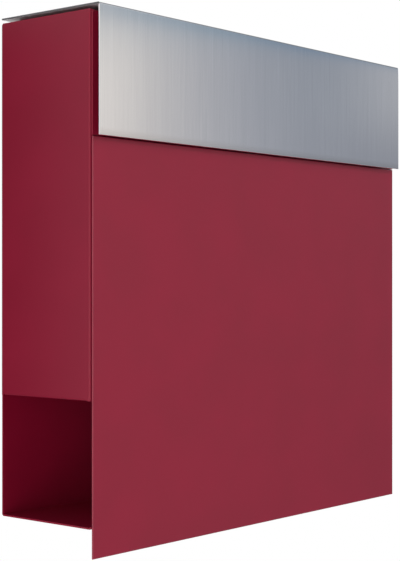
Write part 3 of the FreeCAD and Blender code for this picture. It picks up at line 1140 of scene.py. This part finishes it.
@dataclass
class SoftBox:
    """A square soft lamp that shines on the post box but isn't mirrored in it.

    The azimuth goes from +X to +Y and the rise upwards, both in degrees. The level is the share
    of white that the lamp alone gives a white sheet that faces it, which is its power over the
    square of pi times the distance.
    """

    name: str
    azimuth: float
    rise: float
    level: float
    size: float
    distance: float = 2.0

    def build(self, target: Vector) -> bpy.types.Object:
        """Hang the lamp.

        Args:
            target: point that it is aimed at.

        Returns:
            The lamp.
        """
        lamp = bpy.data.lights.new(self.name, "AREA")
        lamp.shape = "SQUARE"
        lamp.size = self.size
        lamp.energy = self.level * (math.pi * self.distance) ** 2
        made = bpy.data.objects.new(self.name, lamp)
        made.location = target + self.distance * toward(self.azimuth, self.rise)
        made.rotation_euler = (target - made.location).to_track_quat("-Z", "Y").to_euler()
        made.visible_camera = False
        made.visible_glossy = False
        bpy.context.scene.collection.objects.link(made)
        return made


LAMPS = (
    SoftBox("left_front_lamp", azimuth=208.0, rise=-16.0, level=0.345, size=0.85, distance=1.4),
    SoftBox("left_lamp", azimuth=196.0, rise=8.0, level=0.255, size=1.2),
    SoftBox("front_high_lamp", azimuth=275.0, rise=31.0, level=0.31, size=0.9),
    SoftBox("right_lamp", azimuth=328.0, rise=11.0, level=0.41, size=4.8, distance=8.0),
)

GREY: Colour = (0.26, 0.28, 0.31)
DARK: Colour = (0.05, 0.05, 0.055)

RIGHT_FRONT_BANDS = (
    Band(-50.0, -38.0, (
        (-95.0, WHITE),
        (-65.0, (0.95, 0.95, 0.96)),
        (-48.0, (0.92, 0.92, 0.94)),
        (-38.0, (0.50, 0.51, 0.55)),
        (-28.0, GREY),
        (0.0, GREY),
        (20.0, WHITE),
    )),
    Band(-1.0, 4.0, (
        (-95.0, WHITE),
        (-50.0, (1.05, 0.99, 0.95)),
        (-47.6, (0.98, 0.925, 0.90)),
        (-46.1, (0.765, 0.745, 0.745)),
        (-43.6, (0.63, 0.64, 0.68)),
        (-40.1, (0.475, 0.50, 0.565)),
        (-36.7, (0.37, 0.40, 0.47)),
        (-34.5, (0.36, 0.39, 0.46)),
        (-28.0, (0.34, 0.36, 0.41)),
        (0.0, (0.40, 0.42, 0.45)),
        (20.0, WHITE),
    )),
    Band(5.0, 9.5, (
        (-95.0, WHITE),
        (-50.0, (1.10, 1.06, 1.02)),
        (-47.6, (1.04, 0.995, 0.965)),
        (-46.1, (0.77, 0.755, 0.76)),
        (-43.6, (0.61, 0.62, 0.67)),
        (-40.1, (0.45, 0.48, 0.55)),
        (-37.0, (0.375, 0.415, 0.485)),
        (-34.0, (0.40, 0.44, 0.51)),
        (-31.5, (0.60, 0.62, 0.67)),
        (0.0, (0.50, 0.50, 0.52)),
        (20.0, WHITE),
    )),
    Band(11.0, 16.0, (
        (-95.0, WHITE),
        (-80.0, (0.70, 0.74, 0.79)),
        (-48.4, (0.66, 0.70, 0.75)),
        (-47.2, (0.57, 0.635, 0.70)),
        (-46.0, (0.48, 0.57, 0.66)),
        (-41.0, (0.36, 0.46, 0.56)),
        (-36.0, (0.23, 0.32, 0.45)),
        (-30.0, (0.40, 0.47, 0.56)),
        (0.0, (0.50, 0.50, 0.52)),
        (20.0, WHITE),
    )),
    Band(19.0, 26.0, (
        (-95.0, (1.10, 1.10, 1.10)),
        (-50.0, (1.15, 1.15, 1.15)),
        (-41.0, (0.80, 0.84, 0.90)),
        (-33.0, (0.28, 0.32, 0.38)),
        (0.0, (0.25, 0.27, 0.30)),
        (20.0, WHITE),
    )),
)

LEFT_REAR_BANDS = (
    Band(-50.0, -38.0, (
        (84.0, WHITE),
        (96.0, DARK),
        (128.0, DARK),
        (146.0, (0.65, 0.75, 0.82)),
        (158.0, (1.00, 1.05, 1.10)),
        (184.0, WHITE),
    )),
)


@dataclass
class Studio:
    """World, floor, lamps, cards and camera."""

    camera_place: Vector = field(default_factory=lambda: Vector((-0.8614, -0.7528, -0.0561)))
    camera_turn: tuple[float, float, float] = (90.05, 0.0, -50.0)
    camera_reach: Span = (0.01, 100.0)
    lens: float = 88.706
    sensor: float = 36.0
    floor_drop: float = 1.0
    floor_radius: float = 2.4
    floor_sides: int = 64
    floor_fade: Span = (0.45, 0.98)
    floor_colours: tuple[Colour, Colour] = ((0.90, 0.90, 0.90), (0.94, 0.94, 0.94))
    floor_roughness: float = 0.8
    speckles_per_metre: float = 60.0
    speckle_detail: float = 3.0
    speckle_roughness: float = 0.1
    sky: float = 0.10
    sky_rear: float = 0.80
    rear: Vector = field(default_factory=lambda: toward(75.0, 20.0))
    middle: Vector = field(default_factory=lambda: Vector((0.0, -0.05, -0.05)))
    left_side: Vector = field(default_factory=lambda: Vector((-0.19, -0.045, -0.05)))

    def camera(self) -> None:
        """Place the camera."""
        data = bpy.data.cameras.new("camera")
        data.lens = self.lens
        data.sensor_width = self.sensor
        data.sensor_fit = "AUTO"
        data.clip_start, data.clip_end = self.camera_reach
        made = bpy.data.objects.new("camera", data)
        made.location = self.camera_place
        made.rotation_euler = [math.radians(angle) for angle in self.camera_turn]
        bpy.context.scene.collection.objects.link(made)
        bpy.context.scene.camera = made

    def world(self) -> None:
        """Light the part by direction, and show a white background to camera, metal and glass."""
        made = bpy.data.worlds.new("studio")
        bpy.context.scene.world = made
        graph = Graph(made)
        direction = graph.out(graph.add("ShaderNodeTexCoord"), "Generated")
        rear = graph.vector("DOT_PRODUCT", direction, self.rear, output="Value").at_least(0.0)
        level = self.sky + self.sky_rear * rear * rear
        path = graph.add("ShaderNodeLightPath")
        shown = graph.out(path, "Is Camera Ray").at_least(graph.out(path, "Is Glossy Ray"))
        shown = shown.at_least(graph.out(path, "Is Transmission Ray"))
        lit, white = (
            graph.add("ShaderNodeBackground", None, {"Color": (*WHITE, 1.0), "Strength": strength})
            for strength in (level, 1.0)
        )
        mix = graph.add("ShaderNodeMixShader", None, {
            0: shown, 1: graph.out(lit), 2: graph.out(white),
        })
        graph.add("ShaderNodeOutputWorld", None, {"Surface": graph.out(mix)})

    def floor_material(self) -> bpy.types.Material:
        """Make the floor's material, which turns clear towards the rim and from below.

        Returns:
            The material.
        """
        made = bpy.data.materials.new("floor")
        graph = Graph(made)
        place = graph.places()
        flat = graph.vector("MULTIPLY", place, (1.0, 1.0, 0.0))
        away = graph.vector("LENGTH", flat, output="Value")
        speckle = graph.noise(place, 1 / self.speckles_per_metre, self.speckle_detail)
        shader = graph.add("ShaderNodeBsdfPrincipled", None, {
            "Base Color": graph.blend(speckle, *self.floor_colours),
            "Roughness": self.floor_roughness + speckle * self.speckle_roughness,
        })
        clear = graph.add("ShaderNodeBsdfTransparent")
        below = graph.out(graph.add("ShaderNodeNewGeometry"), "Backfacing")
        faded = away.eased(*(share * self.floor_radius for share in self.floor_fade))
        mix = graph.add("ShaderNodeMixShader", None, {
            0: (1 - faded) * (1 - below), 1: graph.out(clear), 2: graph.out(shader),
        })
        graph.add("ShaderNodeOutputMaterial", None, {"Surface": graph.out(mix)})
        return made

    def floor(self) -> None:
        """Lay a pale round floor that fades into the white background."""
        points = [(0.0, 0.0, -self.floor_drop)]
        sides = self.floor_sides
        for step in range(sides):
            angle = math.tau * step / sides
            x, y = self.floor_radius * math.cos(angle), self.floor_radius * math.sin(angle)
            points.append((x, y, -self.floor_drop))
        faces = [(0, 1 + step, 1 + (step + 1) % sides) for step in range(sides)]
        mesh = bpy.data.meshes.new("floor")
        mesh.from_pydata(points, [], faces)
        mesh.materials.append(self.floor_material())
        new_object("floor", mesh)

    def lights(self) -> None:
        """Hang the lamps and cards."""
        for lamp in LAMPS:
            lamp.build(self.middle)
        Card("right_front_card", Side.RIGHT_FRONT, half_span=57.5, bands=RIGHT_FRONT_BANDS).build()
        Card("left_rear_card", Side.LEFT_REAR, half_span=50.0, bands=LEFT_REAR_BANDS, high=42.0,
             centre=self.left_side, radius=0.16, stretch=2.2).build()

    def build(self) -> None:
        """Set up everything round the part."""
        bpy.context.scene.view_settings.view_transform = "Standard"
        self.camera()
        self.world()
        self.floor()
        self.lights()


def main() -> None:
    """Build the studio and each sub-assembly."""
    logging.basicConfig(level=logging.INFO, format="%(name)s: %(message)s")
    Studio().build()
    assemblies: list[Assembly] = [
        Housing(),
        Door(),
        Lid(),
        Hinge("housing", "lid_hinge", "lid"),
        Hinge("housing", "door_hinge", "door"),
        Rivets(),
        Lock(),
        Buffers(),
    ]
    for assembly in assemblies:
        assembly.build()


if __name__ == "__main__":
    main()
